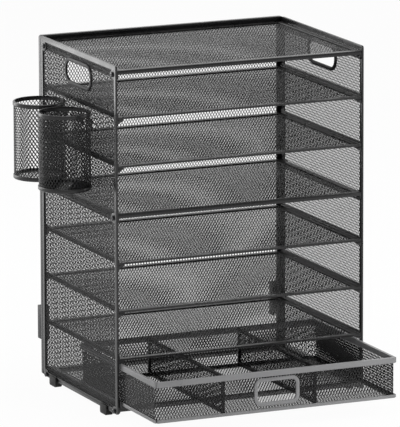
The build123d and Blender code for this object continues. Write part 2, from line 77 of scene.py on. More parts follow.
# %% [markdown]
# ## The view
# A product picture like this one is taken from far away with a long lens, so that upright
# edges stay nearly upright. Distance and lens work as a pair: the distance sets how strongly
# the far edges shrink, and the lens then sets how large the object is in the frame.

# %% Camera
VIEW_AZIMUTH = radians(-24.07)
VIEW_ELEVATION = radians(11.81)
VIEW_ROLL = radians(-0.18)
VIEW_DISTANCE = 7.144
VIEW_TARGET = Vector((-0.00107, 0, 0.21985))
SENSOR_WIDTH = 36.0
FOCAL_LENGTH = 520.56
CLIP_END = 100.0

towards_camera = Vector((
    sin(VIEW_AZIMUTH) * cos(VIEW_ELEVATION),
    -cos(VIEW_AZIMUTH) * cos(VIEW_ELEVATION),
    sin(VIEW_ELEVATION),
))
lens = bpy.data.cameras.new("camera")
lens.sensor_fit = "HORIZONTAL"
lens.sensor_width = SENSOR_WIDTH
lens.lens = FOCAL_LENGTH
lens.clip_end = CLIP_END
camera = bpy.data.objects.new("camera", lens)
camera.location = VIEW_TARGET + VIEW_DISTANCE * towards_camera
camera.rotation_mode = "QUATERNION"
aim = (-towards_camera).to_track_quat("-Z", "Y")
camera.rotation_quaternion = aim @ Quaternion((0, 0, 1), VIEW_ROLL)
scene.collection.objects.link(camera)
scene.camera = camera
scene.view_settings.view_transform = "Standard"
print("camera at", tuple(round(value, 3) for value in camera.location))

# %% [markdown]
# ## Node helpers
# Shader and geometry trees are built by code here. These short helpers add a node, feed its
# inputs with either a number or a link, and lay a tree's named inputs out in one line each.

# %% Helpers for node trees
def feed(tree, node, values):
    """Sets or links a node's inputs: keys are input names or numbers."""
    for key, value in values.items():
        socket = node.inputs[key]
        if isinstance(value, bpy.types.NodeSocket):
            tree.links.new(value, socket)
        else:
            socket.default_value = value
    return node


def add(tree, kind, values=None, **settings):
    """Adds a node with its settings and inputs."""
    node = tree.nodes.new(kind)
    for key, value in settings.items():
        setattr(node, key, value)
    return feed(tree, node, values or {})


def calc(tree, operation, *terms):
    """One step of arithmetic on sockets or numbers."""
    return add(tree, "ShaderNodeMath", dict(enumerate(terms)), operation=operation).outputs[0]


def new_tree(name, kind, inputs, outputs):
    """A node group with named sockets, and its input and output nodes."""
    tree = bpy.data.node_groups.new(name, kind)
    for label, socket_type, value in inputs:
        socket = tree.interface.new_socket(label, in_out="INPUT", socket_type=socket_type)
        if value is not None:
            socket.default_value = value
    for label, socket_type in outputs:
        tree.interface.new_socket(label, in_out="OUTPUT", socket_type=socket_type)
    return tree, tree.nodes.new("NodeGroupInput").outputs, tree.nodes.new("NodeGroupOutput")


# %% [markdown]
# ## Light and background
# Black gloss shows the room more than itself, so the lights are shaped like a studio's: two
# tall soft boxes, one at the right and one behind the left side, a small one in front, and a
# wide one overhead. The white surroundings that the camera sees come from the Light Path
# node, so they add no light to the object. The same node gives reflections a room of their
# own, dark in front and white behind, because a black coat in an all white room looks grey.

# %% World and floor
WORLD_LIGHT = 0.35
ROOM_DARK = 0.05
ROOM_EDGE = (-0.45, 0.25)
FLOOR_HALF = 12.0
FLOOR_WHITE = (0.93, 0.93, 0.93, 1)
FLOOR_GLOW_SHARE = 0.96

world = bpy.data.worlds.new("studio")
scene.world = world
world.use_nodes = True
tree = world.node_tree
tree.nodes.clear()
path = add(tree, "ShaderNodeLightPath").outputs
seen = calc(tree, "MAXIMUM", path["Is Camera Ray"], path["Is Transmission Ray"])
direction = add(tree, "ShaderNodeTexCoord").outputs["Generated"]
backwards = add(tree, "ShaderNodeSeparateXYZ", {0: direction}).outputs["Y"]
room = add(tree, "ShaderNodeMapRange", {0: backwards, 1: ROOM_EDGE[0], 2: ROOM_EDGE[1],
                                        3: ROOM_DARK, 4: 1.0}).outputs[0]
reflected = add(tree, "ShaderNodeMix", {
    0: path["Is Glossy Ray"], 2: WORLD_LIGHT, 3: room}).outputs[0]
strength = add(tree, "ShaderNodeMix", {0: seen, 2: reflected, 3: 1.0}).outputs[0]
sky = add(tree, "ShaderNodeBackground", {"Color": (1, 1, 1, 1), "Strength": strength})
add(tree, "ShaderNodeOutputWorld", {"Surface": sky.outputs[0]})


def floor_material():
    """Pale paper floor: nearly plain white where seen or reflected, with a soft shadow."""
    material = bpy.data.materials.new("studio_floor")
    material.use_nodes = True
    tree = material.node_tree
    tree.nodes.clear()
    path = add(tree, "ShaderNodeLightPath").outputs
    seen = calc(tree, "MAXIMUM", path["Is Camera Ray"], path["Is Transmission Ray"])
    seen = calc(tree, "MAXIMUM", seen, path["Is Glossy Ray"])
    paper = add(tree, "ShaderNodeBsdfDiffuse", {"Color": FLOOR_WHITE})
    glow = add(tree, "ShaderNodeEmission", {"Color": (1, 1, 1, 1), "Strength": 1.0})
    share = calc(tree, "MULTIPLY", seen, FLOOR_GLOW_SHARE)
    mixed = add(tree, "ShaderNodeMixShader", {0: share, 1: paper.outputs[0], 2: glow.outputs[0]})
    add(tree, "ShaderNodeOutputMaterial", {"Surface": mixed.outputs[0]})
    return material


floor_mesh = bpy.data.meshes.new("studio_floor")
corners = [(-FLOOR_HALF, -FLOOR_HALF, 0), (FLOOR_HALF, -FLOOR_HALF, 0)]
corners += [(FLOOR_HALF, FLOOR_HALF, 0), (-FLOOR_HALF, FLOOR_HALF, 0)]
floor_mesh.from_pydata(corners, [], [(0, 1, 2, 3)])
floor_mesh.materials.append(floor_material())
floor = bpy.data.objects.new("studio_floor", floor_mesh)
scene.collection.objects.link(floor)
print("floor", 2 * FLOOR_HALF, "m wide")

# %% Soft boxes
def soft_box(name, azimuth, elevation, distance, width, height, watts):
    """A rectangular area light that faces the organizer."""
    light = bpy.data.lights.new(name, "AREA")
    light.shape = "RECTANGLE"
    light.size = width
    light.size_y = height
    light.energy = watts
    out = Vector((sin(azimuth) * cos(elevation), -cos(azimuth) * cos(elevation), sin(elevation)))
    lamp = bpy.data.objects.new(name, light)
    lamp.location = VIEW_TARGET + distance * out
    lamp.rotation_euler = (-out).to_track_quat("-Z", "Y").to_euler()
    scene.collection.objects.link(lamp)
    return lamp


soft_box("right_box", radians(75), radians(14), distance=1.7, width=0.9, height=1.4, watts=17)
soft_box("left_rear_box", radians(-145), radians(14), distance=1.7, width=0.8, height=1.4, watts=12)
soft_box("front_box", radians(20), radians(30), distance=2.2, width=0.7, height=0.7, watts=7)
soft_box("overhead_box", radians(0), radians(88), distance=1.9, width=1.5, height=1.5, watts=12)

# %% [markdown]
# ## Finishes
# Powder coat is baked plastic dust: it flows into a satin skin with a fine orange peel and a
# slow change of tone, and it gathers some dust on faces that look up. One group makes these
# patterns from Object coordinates, and each material mixes them with its own strength.
# Moulded nylon and rubber use the same group with a finer grain and a duller skin.

# %% Grain group
TONE_SCALE = 22.0
LYING_RANGE = (0.6, 1.0)
SPECK_RANGE = (0.45, 0.75)


def grain_group():
    """Orange peel, slow change of tone, and dust on upward faces."""
    tree, inputs, out = new_tree("coat_grain", "ShaderNodeTree", [
        ("Peel Scale", "NodeSocketFloat", 900.0),
        ("Tone Scale", "NodeSocketFloat", TONE_SCALE),
        ("Dust Scale", "NodeSocketFloat", 160.0),
    ], [
        ("Peel", "NodeSocketFloat"),
        ("Tone", "NodeSocketFloat"),
        ("Dust", "NodeSocketFloat"),
    ])
    place = add(tree, "ShaderNodeTexCoord").outputs["Object"]
    peel = add(tree, "ShaderNodeTexNoise", {
        "Vector": place, "Scale": inputs["Peel Scale"], "Detail": 3.0, "Roughness": 0.55})
    tone = add(tree, "ShaderNodeTexNoise", {
        "Vector": place, "Scale": inputs["Tone Scale"], "Detail": 4.0, "Roughness": 0.6})
    specks = add(tree, "ShaderNodeTexNoise", {
        "Vector": place, "Scale": inputs["Dust Scale"], "Detail": 5.0, "Roughness": 0.7})
    normal = add(tree, "ShaderNodeNewGeometry").outputs["Normal"]
    up = add(tree, "ShaderNodeSeparateXYZ", {0: normal}).outputs["Z"]
    lying = add(tree, "ShaderNodeMapRange", {
        0: up, 1: LYING_RANGE[0], 2: LYING_RANGE[1]}).outputs[0]
    speck = add(tree, "ShaderNodeMapRange", {
        0: specks.outputs[0], 1: SPECK_RANGE[0], 2: SPECK_RANGE[1]}).outputs[0]
    dust = calc(tree, "MULTIPLY", lying, speck)
    feed(tree, out, {"Peel": peel.outputs[0], "Tone": tone.outputs[0], "Dust": dust})
    return tree


GRAIN = grain_group()
print("group", GRAIN.name, [item.name for item in GRAIN.interface.items_tree])

# %% Materials
DUST_COLOUR = (0.24, 0.23, 0.22, 1)
POLISH_TONES = (0.3, 0.7)
PEEL_STRENGTH = 0.5


def finish(name, dark, light, rough, peel=(900.0, 0.00006), dust=0.25, gloss=0.5, metal=0.0):
    """A coated or moulded surface. rough is a pair, peel is its scale and its depth."""
    material = bpy.data.materials.new(name)
    material.use_nodes = True
    tree = material.node_tree
    tree.nodes.clear()
    grain = add(tree, "ShaderNodeGroup", node_tree=GRAIN)
    feed(tree, grain, {"Peel Scale": peel[0], "Tone Scale": TONE_SCALE})
    colour = add(tree, "ShaderNodeMix", data_type="RGBA")
    feed(tree, colour, {0: grain.outputs["Tone"], 6: (*dark, 1), 7: (*light, 1)})
    dusty = add(tree, "ShaderNodeMix", data_type="RGBA")
    amount = calc(tree, "MULTIPLY", grain.outputs["Dust"], dust)
    feed(tree, dusty, {0: amount, 6: colour.outputs[2], 7: DUST_COLOUR})
    polish = add(tree, "ShaderNodeMapRange", {
        0: grain.outputs["Tone"], 1: POLISH_TONES[0], 2: POLISH_TONES[1], 3: rough[0], 4: rough[1]})
    bump = add(tree, "ShaderNodeBump", {
        "Height": grain.outputs["Peel"], "Strength": PEEL_STRENGTH, "Distance": peel[1]})
    shader = add(tree, "ShaderNodeBsdfPrincipled", {
        "Base Color": dusty.outputs[2], "Roughness": polish.outputs[0],
        "Normal": bump.outputs[0], "Specular IOR Level": gloss, "Metallic": metal})
    add(tree, "ShaderNodeOutputMaterial", {"Surface": shader.outputs[0]})
    return material


HEM = finish("satin_black_hem", (0.006, 0.006, 0.0065), (0.014, 0.014, 0.0148), (0.22, 0.34))
RING = finish("dull_black_ring", (0.006, 0.006, 0.0065), (0.013, 0.013, 0.0138), (0.34, 0.46),
              gloss=0.12)
# The drawer's hems are the same black coat as the rest; their grey colour is a painted highlight, the sheen
# that the drawer's rim shows under the studio light.
DRAWER_HEM_PAINTED_HIGHLIGHT = finish("drawer_hem_painted_highlight", (0.24, 0.24, 0.244), (0.34, 0.34, 0.346), (0.26, 0.4))
STRAND = finish("satin_black_strand", (0.006, 0.006, 0.0065), (0.013, 0.013, 0.0138), (0.2, 0.3))
FASTENER = finish("blackened_screw", (0.02, 0.02, 0.022), (0.06, 0.06, 0.064), (0.22, 0.34),
                  peel=(1800.0, 0.00003), gloss=0.8, metal=0.35)
NYLON = finish("black_nylon", (0.012, 0.012, 0.013), (0.03, 0.03, 0.031), (0.42, 0.55),
               peel=(2400.0, 0.00005), dust=0.35)
RUBBER = finish("black_rubber", (0.014, 0.014, 0.014), (0.032, 0.032, 0.032), (0.62, 0.78),
                peel=(3000.0, 0.00008), dust=0.45, gloss=0.3)
print("finishes", [m.name for m in bpy.data.materials])

# %% [markdown]
# ## Finished pieces
# A piece is complete when it has a name, a material and a body to ride on, and when the plain
# solids that it stands for are hidden. This one function does all of that, so that no piece
# can miss a step.


def piece(name, mesh, material, *nodes):
    """A finished piece in the place of one or more plain solids of one body."""
    mesh.name = name
    mesh.materials.clear()
    mesh.materials.append(material)
    made = bpy.data.objects.new(name, mesh)
    scene.collection.objects.link(made)
    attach(made, body_of[nodes[0]])
    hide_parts(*nodes)
    return made


def coordinates(mesh):
    """All the points of a mesh, one row each."""
    values = np.empty(3 * len(mesh.vertices), np.float32)
    mesh.vertices.foreach_get("co", values)
    return values.reshape(-1, 3)


def moved(mesh, rule):
    """Sends every point of a mesh through a rule that maps old places to new ones."""
    places = np.ascontiguousarray(rule(coordinates(mesh)), np.float32)
    mesh.vertices.foreach_set("co", places.ravel())
    mesh.update()
    return mesh


# %% [markdown]
# ## Expanded mesh
# Expanded metal is one sheet that is slit in staggered rows and pulled open. What stays is
# a set of zigzag strands that touch their neighbours at every bend, each strand turned a
# little out of the sheet's plane, which is why such a mesh glints. It could be a picture
# with holes, but then it would have no thickness and no glint. Geometry Nodes suit it well:
# a grid of points gives the bends, only the edges along one direction are kept, every second
# point moves aside, and each zigzag is swept with a flat, tilted section.

# %% Mesh tree
ON_OUTLINE = 0.01 * MM


def strand_tree():
    """Flat expanded mesh about the origin, with its long diamonds along Y."""
    tree, inputs, out = new_tree("expanded_mesh", "GeometryNodeTree", [
        ("Width", "NodeSocketFloat", 0.1),
        ("Height", "NodeSocketFloat", 0.1),
        ("Diamond Width", "NodeSocketFloat", 0.0038),
        ("Diamond Height", "NodeSocketFloat", 0.0064),
        ("Strand Width", "NodeSocketFloat", 0.001),
        ("Strand Thickness", "NodeSocketFloat", 0.0005),
        ("Strand Tilt", "NodeSocketFloat", 0.4),
        ("Closed", "NodeSocketInt", 0),
        ("Openings", "NodeSocketObject", None),
        ("Material", "NodeSocketMaterial", None),
    ], [("Geometry", "NodeSocketGeometry")])
    steps_x = calc(tree, "DIVIDE", inputs["Width"], inputs["Diamond Width"])
    steps_x = calc(tree, "MULTIPLY", calc(tree, "ROUND", steps_x), 2.0)
    steps_y = calc(tree, "DIVIDE", inputs["Height"], inputs["Diamond Height"])
    steps_y = calc(tree, "MULTIPLY", calc(tree, "ROUND", steps_y), 2.0)
    pitch_x = calc(tree, "DIVIDE", inputs["Width"], steps_x)
    pitch_y = calc(tree, "DIVIDE", inputs["Height"], steps_y)
    last_x = calc(tree, "SUBTRACT", steps_x, inputs["Closed"])
    grid = add(tree, "GeometryNodeMeshGrid", {
        "Size X": calc(tree, "MULTIPLY", pitch_x, last_x), "Size Y": inputs["Height"],
        "Vertices X": calc(tree, "ADD", last_x, 1.0),
        "Vertices Y": calc(tree, "ADD", steps_y, 1.0)}).outputs[0]

    ends = add(tree, "GeometryNodeInputMeshEdgeVertices").outputs
    along = add(tree, "ShaderNodeVectorMath", {0: ends["Position 1"], 1: ends["Position 2"]},
                operation="SUBTRACT").outputs[0]
    across = calc(tree, "ABSOLUTE", add(tree, "ShaderNodeSeparateXYZ", {0: along}).outputs[0])
    rung = calc(tree, "GREATER_THAN", across, calc(tree, "MULTIPLY", pitch_x, 0.5))
    chains = add(tree, "GeometryNodeDeleteGeometry", {"Geometry": grid, "Selection": rung},
                 domain="EDGE", mode="EDGE_FACE").outputs[0]

    position = add(tree, "GeometryNodeInputPosition").outputs[0]
    place = add(tree, "ShaderNodeSeparateXYZ", {0: position})
    column = calc(tree, "ADD", calc(tree, "DIVIDE", place.outputs[0], pitch_x),
                  calc(tree, "MULTIPLY", last_x, 0.5))
    row = calc(tree, "ADD", calc(tree, "DIVIDE", place.outputs[1], pitch_y),
               calc(tree, "MULTIPLY", steps_y, 0.5))
    number = calc(tree, "ADD", calc(tree, "ROUND", column), calc(tree, "ROUND", row))
    odd = calc(tree, "MODULO", number, 2.0)
    side = calc(tree, "SUBTRACT", 0.5, odd)
    shift = add(tree, "ShaderNodeCombineXYZ", {0: calc(tree, "MULTIPLY", side, pitch_x)})
    zigzag = add(tree, "GeometryNodeSetPosition", {"Geometry": chains, "Offset": shift.outputs[0]})

    shape = add(tree, "GeometryNodeObjectInfo", {"Object": inputs["Openings"]}).outputs["Geometry"]
    near = add(tree, "GeometryNodeProximity", {0: shape}, target_element="FACES").outputs
    inside = calc(tree, "LESS_THAN", near["Distance"], ON_OUTLINE)
    inside = calc(tree, "MULTIPLY", inside, near["Is Valid"])
    kept = add(tree, "GeometryNodeDeleteGeometry", {
        "Geometry": zigzag.outputs[0], "Selection": inside}, domain="POINT", mode="ALL")

    strands = add(tree, "GeometryNodeMeshToCurve", {"Mesh": kept.outputs[0]}).outputs[0]
    strands = add(tree, "GeometryNodeSetCurveNormal", {"Curve": strands}, mode="Z_UP").outputs[0]
    strands = add(tree, "GeometryNodeSetCurveTilt", {
        "Curve": strands, "Tilt": inputs["Strand Tilt"]}).outputs[0]
    section = add(tree, "GeometryNodeCurvePrimitiveQuadrilateral", {
        "Width": inputs["Strand Width"], "Height": inputs["Strand Thickness"]}, mode="RECTANGLE")
    swept = add(tree, "GeometryNodeCurveToMesh", {
        "Curve": strands, "Profile Curve": section.outputs[0], "Fill Caps": True}).outputs[0]
    solid = add(tree, "GeometryNodeRealizeInstances", {"Geometry": swept}).outputs[0]
    coated = add(tree, "GeometryNodeSetMaterial", {
        "Geometry": solid, "Material": inputs["Material"]})
    feed(tree, out, {"Geometry": coated.outputs[0]})
    return tree


MESH_TREE = strand_tree()


def grown(tree, values):
    """Runs a geometry tree once with named values, and returns its plain mesh."""
    seed = bpy.data.objects.new("seed", bpy.data.meshes.new("seed"))
    scene.collection.objects.link(seed)
    modifier = seed.modifiers.new("grow", "NODES")
    modifier.node_group = tree
    for item in tree.interface.items_tree:
        if item.in_out == "INPUT" and item.name in values:
            modifier[item.identifier] = values[item.name]
    bpy.context.view_layer.update()
    finished = seed.evaluated_get(bpy.context.evaluated_depsgraph_get())
    mesh = bpy.data.meshes.new_from_object(finished)
    bpy.data.objects.remove(seed)
    return mesh


print("tree", MESH_TREE.name, len(MESH_TREE.nodes), "nodes")

# %% [markdown]
# ## Openings in the mesh
# A ring is folded over the mesh round each hand hole, so the mesh inside it is cut away, and
# the cups' hooks need a parted gap each. A flat outline per sheet says where. Every point of
# the mesh that lies on it is dropped before the strands are swept.

# %% Outlines of openings
RING_BAND = 4.5 * MM
RING_OVERLAP = 1.2 * MM
HOOK_GAP = 5.0 * MM
HOOK_WIDTH = 4.0 * MM
ARC_POINTS = 8


def rounded(centre, width, height, radius):
    """Points of a rounded rectangle in a plane, anticlockwise."""
    points = []
    for turn, (side_x, side_y) in enumerate(((1, 1), (-1, 1), (-1, -1), (1, -1))):
        for step in range(ARC_POINTS + 1):
            angle = (turn + step / ARC_POINTS) * pi / 2
            points.append((centre[0] + side_x * (width / 2 - radius) + radius * cos(angle),
                           centre[1] + side_y * (height / 2 - radius) + radius * sin(angle), 0))
    return points


def outline_object(outlines):
    """A hidden helper: flat faces in the sheet's own plane."""
    mesh = bpy.data.meshes.new("openings")
    points = [point for outline in outlines for point in outline]
    faces = []
    for outline in outlines:
        start = sum(len(face) for face in faces)
        faces.append(list(range(start, start + len(outline))))
    mesh.from_pydata(points, [], faces)
    helper = bpy.data.objects.new("openings", mesh)
    scene.collection.objects.link(helper)
    return helper


def ring_outline(node, axes, radius):
    """The hole inside a folded ring, in a sheet's plane, from the ring's own box."""
    low, high = (Vector([corner[axis] for axis in axes]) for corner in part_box(node))
    size = high - low
    grow = 2 * (RING_OVERLAP - RING_BAND)
    return rounded((low + high) / 2, size[0] + grow, size[1] + grow, radius + RING_OVERLAP)


def hook_outlines(mesh_x):
    """Gaps for the cups' slanted prongs where they cross the left side mesh."""
    outlines = []
    for node in ("front_cup_hooks", "rear_cup_hooks"):
        low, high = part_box(node)
        height = high.z - (mesh_x - low.x)
        for y in (low.y + HOOK_WIDTH / 2, high.y - HOOK_WIDTH / 2):
            outlines.append(rounded((y, height), HOOK_GAP, HOOK_GAP, RING_OVERLAP))
    return outlines


print("ring overlap", round(RING_OVERLAP / MM, 2), "mm, hook gap", round(HOOK_GAP / MM, 2), "mm")

# %% [markdown]
# ## Flat sheets
# Each flat sheet takes its size and plane from the solid that it replaces. The tree
# works flat on the ground, and a rule then stands the sheet up: the two long axes of the
# solid become the sheet's width and height.

# %% Flat mesh sheets
DIAMOND = (3.8 * MM, 6.4 * MM)
CUP_DIAMOND = (4.4 * MM, 6.6 * MM)
STRAND_WIDTH = 1.0 * MM
STRAND_THICKNESS = 0.35 * MM
STRAND_TILT = radians(22)
SIDE_TILT = radians(-3)
SIDE_AXES = (1, 2, 0)
BACK_AXES = (0, 2, 1)
FLOOR_AXES = (0, 1, 2)


def strands(width, height, diamond, tilt=STRAND_TILT, closed=0, openings=None):
    """Flat expanded mesh of one size, as a plain mesh."""
    return grown(MESH_TREE, {
        "Width": width, "Height": height, "Diamond Width": diamond[0],
        "Diamond Height": diamond[1], "Strand Width": STRAND_WIDTH,
        "Strand Thickness": STRAND_THICKNESS, "Strand Tilt": tilt, "Closed": closed,
        "Openings": openings, "Material": STRAND})


def flat_sheet(node, axes, outlines=()):
    """Expanded mesh in the place of a flat solid. axes are its width, height and thickness."""
    low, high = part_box(node)
    middle = (low + high) / 2
    size = high - low
    flat_middle = [middle[axis] for axis in axes]
    facing = -1 if axes == BACK_AXES else 1

    def stand(points):
        placed = np.empty_like(points)
        for column, axis in enumerate(axes):
            way = facing if column == 2 else 1
            placed[:, axis] = way * points[:, column] + flat_middle[column]
        return placed

    shifted = [[(x - flat_middle[0], y - flat_middle[1], 0) for x, y, _ in line]
               for line in outlines]
    openings = outline_object(shifted) if shifted else None
    tilt = SIDE_TILT if axes == SIDE_AXES else STRAND_TILT
    mesh = strands(size[axes[0]], size[axes[1]], DIAMOND, tilt, openings=openings)
    if openings:
        bpy.data.objects.remove(openings)
    return piece(node + "_strands", moved(mesh, stand), STRAND, node)


HAND_HOLE_RADIUS = 11.0 * MM
for side in ("left", "right"):
    outlines = [ring_outline(side + "_handle_ring", SIDE_AXES[:2], HAND_HOLE_RADIUS)]
    if side == "left":
        outlines += hook_outlines(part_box("left_side_mesh")[1].x)
    flat_sheet(side + "_side_mesh", SIDE_AXES, outlines)
    flat_sheet(side + "_divider_mesh", SIDE_AXES)
flat_sheet("back_mesh", BACK_AXES)
SHELVES = ["top_shelf", "base"] + [f"shelf_{row}" for row in range(1, 7)]
for shelf in SHELVES:
    flat_sheet(shelf + "_mesh", FLOOR_AXES)
flat_sheet("drawer_floor_mesh", FLOOR_AXES)
flat_sheets = [o for o in scene.objects if o.name.endswith("_strands")]
print("strand triangles so far", sum(2 * len(o.data.polygons) for o in flat_sheets))

# %% [markdown]
# ## Bent sheets
# The drawer's wall is one strip bent round four soft corners, and a cup's wall is a strip
# rolled to a tube. Both are grown flat, as wide as the loop is long, and then wrapped: the
# distance along the strip becomes a place on the loop, and the strip's thickness points out.

# %% Wrapped mesh sheets
WALL_RADIUS = 6.0 * MM
PULL_RADIUS = 5.5 * MM
HALF_SHEET = 0.4 * MM
LOOP_STEPS = 48


def loop_rule(half_x, half_y, radius, centre):
    """A rule that wraps a flat strip round a rounded rectangle, and the loop's length."""
    corners = ((1, -1), (1, 1), (-1, 1), (-1, -1))
    points = [(0.0, -half_y)]
    for turn, (side_x, side_y) in enumerate(corners):
        for step in range(LOOP_STEPS + 1):
            angle = (turn - 1 + step / LOOP_STEPS) * pi / 2
            points.append((side_x * (half_x - radius) + radius * cos(angle),
                           side_y * (half_y - radius) + radius * sin(angle)))
    points.append((0.0, -half_y))
    points = np.array(points)
    lengths = np.concatenate([[0], np.cumsum(np.hypot(*np.diff(points, axis=0).T))])
    total = lengths[-1]

    def at(distance):
        wrapped = np.mod(distance, total)
        return np.stack([np.interp(wrapped, lengths, points[:, axis]) for axis in (0, 1)], axis=1)

    def wrap(flat):
        nudge = STRAND_WIDTH / 2
        along = at(flat[:, 0] + nudge) - at(flat[:, 0] - nudge)
        along /= np.linalg.norm(along, axis=1, keepdims=True)
        outward = np.stack([along[:, 1], -along[:, 0]], axis=1)
        plan = at(flat[:, 0]) + outward * flat[:, 2:3] + (centre[0], centre[1])
        return np.column_stack([plan, flat[:, 1] + centre[2]])

    return wrap, total


def wrapped_sheet(node, radius, diamond, outlines=()):
    """Expanded mesh in the place of a solid that is bent round into a loop."""
    low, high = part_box(node)
    half = (high - low) / 2 - Vector((HALF_SHEET, HALF_SHEET, 0))
    wrap, length = loop_rule(half.x, half.y, min(radius, half.x), (low + high) / 2)
    openings = outline_object(outlines) if outlines else None
    mesh = strands(length, high.z - low.z, diamond, closed=1, openings=openings)
    if openings:
        bpy.data.objects.remove(openings)
    return piece(node + "_strands", moved(mesh, wrap), STRAND, node)


wall_low, wall_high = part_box("drawer_wall_mesh")
wall_middle = (wall_low.z + wall_high.z) / 2
pull = ring_outline("drawer_pull_ring", (0, 2), PULL_RADIUS)
pull_hole = [(x, z - wall_middle, 0) for x, z, _ in pull]
wrapped_sheet("drawer_wall_mesh", WALL_RADIUS, DIAMOND, [pull_hole])
for cup in ("front", "rear"):
    cup_radius = (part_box(cup + "_cup_wall")[1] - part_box(cup + "_cup_wall")[0]).x / 2
    wrapped_sheet(cup + "_cup_wall", cup_radius, CUP_DIAMOND)
print("drawer wall and cups wrapped")

# %% Cup floors
DISC_POINTS = 64


def cup_floor(cup):
    """The round mesh floor: a square sheet that loses all that lies beyond the disc."""
    node = cup + "_cup_floor"
    low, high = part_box(node)
    middle = (low + high) / 2
    radius = (high.x - low.x) / 2
    beyond = 2 * radius
    turns = np.linspace(0, 2 * pi, DISC_POINTS + 1)[:-1]
    outer = [(beyond * cos(turn), beyond * sin(turn), 0) for turn in turns]
    disc = [(radius * cos(turn), radius * sin(turn), 0) for turn in turns]
    after = [(point + 1) % DISC_POINTS for point in range(DISC_POINTS)]
    faces = [(point, after[point], DISC_POINTS + after[point], DISC_POINTS + point)
             for point in range(DISC_POINTS)]
    mesh = bpy.data.meshes.new("openings")
    mesh.from_pydata(outer + disc, [], faces)
    openings = bpy.data.objects.new("openings", mesh)
    scene.collection.objects.link(openings)
    flat = strands(2 * radius, 2 * radius, CUP_DIAMOND, openings=openings)
    bpy.data.objects.remove(openings)
    return piece(node + "_strands", moved(flat, lambda points: points + middle), STRAND, node)


for cup in ("front", "rear"):
    cup_floor(cup)
print("cup floors cut round")

# %% [markdown]
# ## Rounded folds
# A hem is sheet steel folded flat over the mesh, so its edges are small rounds that catch a
# thin line of light. The plain solids are sharp. A copy of each is cleaned and bevelled by
# less than the fold's radius, which leaves its outline where it was.

# %% Softened copies
SHARP_ANGLE = radians(32)
FLAT_ANGLE = radians(0.5)
WELD = 0.002 * MM
FOLD_STEPS = 2


def softened(node, material, width):
    """A copy of a plain solid with small rounds along its sharp edges."""
    build = bmesh.new()
    build.from_mesh(frame["nodes"][node].data)
    bmesh.ops.remove_doubles(build, verts=build.verts, dist=WELD)
    bmesh.ops.dissolve_limit(build, angle_limit=FLAT_ANGLE, verts=build.verts, edges=build.edges)
    mesh = bpy.data.meshes.new(node)
    build.to_mesh(mesh)
    build.free()
    blank = bpy.data.objects.new("blank", mesh)
    scene.collection.objects.link(blank)
    bevel = blank.modifiers.new("fold", "BEVEL")
    bevel.width = width
    bevel.segments = FOLD_STEPS
    bevel.limit_method = "ANGLE"
    bevel.angle_limit = SHARP_ANGLE
    bpy.context.view_layer.update()
    finished = blank.evaluated_get(bpy.context.evaluated_depsgraph_get())
    soft = bpy.data.meshes.new_from_object(finished)
    bpy.data.objects.remove(blank)
    soft.shade_smooth()
    soft.set_sharp_from_angle(angle=SHARP_ANGLE)
    return piece(node + "_folded", soft, material, node)


HEM_ROUND = 0.35 * MM
THIN_ROUND = 0.2 * MM
GLIDE_ROUND = 0.3 * MM
BUMPER_ROUND = 0.5 * MM
FOOT_ROUND = 0.6 * MM
for side in ("left", "right"):
    softened(side + "_side_frame", HEM, HEM_ROUND)
    softened(side + "_handle_ring", RING, HEM_ROUND)
    softened(side + "_shelf_rests", HEM, HEM_ROUND)
    softened(side + "_runner", HEM, THIN_ROUND)
    softened(side + "_divider_frame", HEM, HEM_ROUND)
    softened(side + "_glide", NYLON, GLIDE_ROUND)
    softened(side + "_rear_bumper", NYLON, BUMPER_ROUND)
    for end in ("front", "rear"):
        softened(f"{end}_{side}_foot", RUBBER, FOOT_ROUND)
softened("back_frame", HEM, HEM_ROUND)
for shelf in SHELVES:
    softened(shelf + "_frame", HEM, HEM_ROUND)
# The drawer's rim, bottom frame and pull ring take the black coat with a painted highlight in its colour.
for part in ("rim", "bottom_frame", "pull_ring"):
    softened("drawer_" + part, DRAWER_HEM_PAINTED_HIGHLIGHT, HEM_ROUND)
for cup in ("front", "rear"):
    for part in ("rim", "base_ring"):
        softened(f"{cup}_cup_{part}", HEM, HEM_ROUND)
    softened(cup + "_cup_hooks", HEM, THIN_ROUND)

# %% [markdown]
# ## Screws
# The rack is bolted at twelve corners with small pan-head screws that have a cross recess.
# The head is a turned shape, so its profile is spun once; the recess is two crossed blocks
# taken away from it in Geometry Nodes, which then puts one screw at each point, turned to
# face out of its panel and by a random amount about its own axis.

# %% Screw tree
HEAD_RADIUS = 3.2 * MM
HEAD_HEIGHT = 2.2 * MM
SHANK_RADIUS = 1.6 * MM
SHANK_LENGTH = 6.3 * MM
SHOULDER = 0.5 * HEAD_HEIGHT
SHOULDER_STEPS = 5
SPIN_STEPS = 28
AXIS_WELD = 0.001 * MM


def screw_blank():
    """A pan head on a plain shank, spun about Z, seated at the origin."""
    profile = [(0, HEAD_HEIGHT)]
    for step in range(SHOULDER_STEPS + 1):
        angle = pi / 2 * (1 - step / SHOULDER_STEPS)
        profile.append((HEAD_RADIUS - SHOULDER + SHOULDER * cos(angle),
                        HEAD_HEIGHT - SHOULDER + SHOULDER * sin(angle)))
    profile += [(HEAD_RADIUS, 0), (SHANK_RADIUS, 0)]
    profile += [(SHANK_RADIUS, -SHANK_LENGTH), (0, -SHANK_LENGTH)]
    build = bmesh.new()
    points = [build.verts.new((x, 0, z)) for x, z in profile]
    edges = [build.edges.new(pair) for pair in zip(points, points[1:])]
    bmesh.ops.spin(build, geom=points + edges, axis=(0, 0, 1), cent=(0, 0, 0),
                   angle=2 * pi, steps=SPIN_STEPS, use_merge=True)
    bmesh.ops.remove_doubles(build, verts=build.verts, dist=AXIS_WELD)
    bmesh.ops.recalc_face_normals(build, faces=build.faces)
    mesh = bpy.data.meshes.new("screw_blank")
    build.to_mesh(mesh)
    build.free()
    blank = bpy.data.objects.new("screw_blank", mesh)
    scene.collection.objects.link(blank)
    return blank


